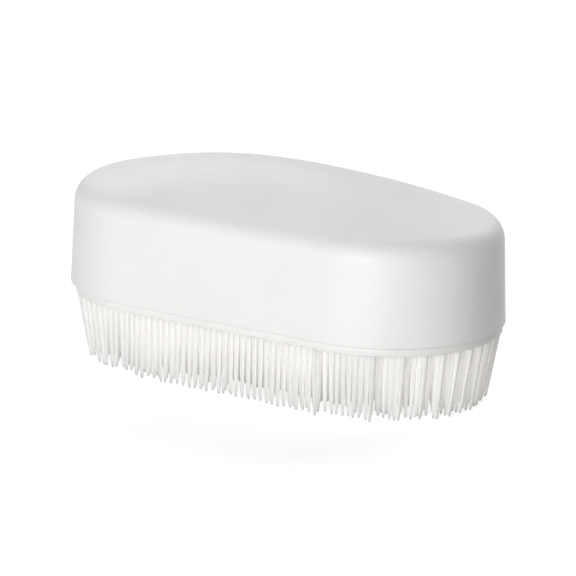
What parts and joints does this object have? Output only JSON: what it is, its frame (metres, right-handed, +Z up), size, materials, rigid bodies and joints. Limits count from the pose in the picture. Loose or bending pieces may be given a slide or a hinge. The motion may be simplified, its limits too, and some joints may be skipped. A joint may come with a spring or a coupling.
{
  "type": "laundry brush",
  "caption": "Palm-held laundry brush: a crowned hollow casing screwed to a support plate, over a pad of tapered plastic pins in straight rows.",
  "frame": {"origin": "centre of the outline, at the level of the flat bristle tips", "axes": "+X along the brush, +Y across it, +Z up from the bristle tips to the crown"},
  "size_m": [0.12, 0.06, 0.055],
  "materials": {
    "casing_white": "matte moulded white plastic",
    "bristle_white": "satin, slightly translucent warm-white moulded plastic",
    "plate_grey": "matte moulded grey plastic",
    "screw_steel": "zinc-plated steel"
  },
  "bodies": {
    "root": {"casing": "casing_white", "support_plate": "plate_grey", "screw_1": "screw_steel", "screw_2": "screw_steel", "screw_3": "screw_steel", "screw_4": "screw_steel", "bristle_row_01": "bristle_white", "bristle_row_02": "bristle_white", "bristle_row_03": "bristle_white", "bristle_row_04": "bristle_white", "bristle_row_05": "bristle_white", "bristle_row_06": "bristle_white", "bristle_row_07": "bristle_white", "bristle_row_08": "bristle_white", "bristle_row_09": "bristle_white", "bristle_row_10": "bristle_white", "bristle_row_11": "bristle_white", "bristle_row_12": "bristle_white", "bristle_row_13": "bristle_white", "bristle_row_14": "bristle_white", "bristle_row_15": "bristle_white"}
  },
  "joints": []
}
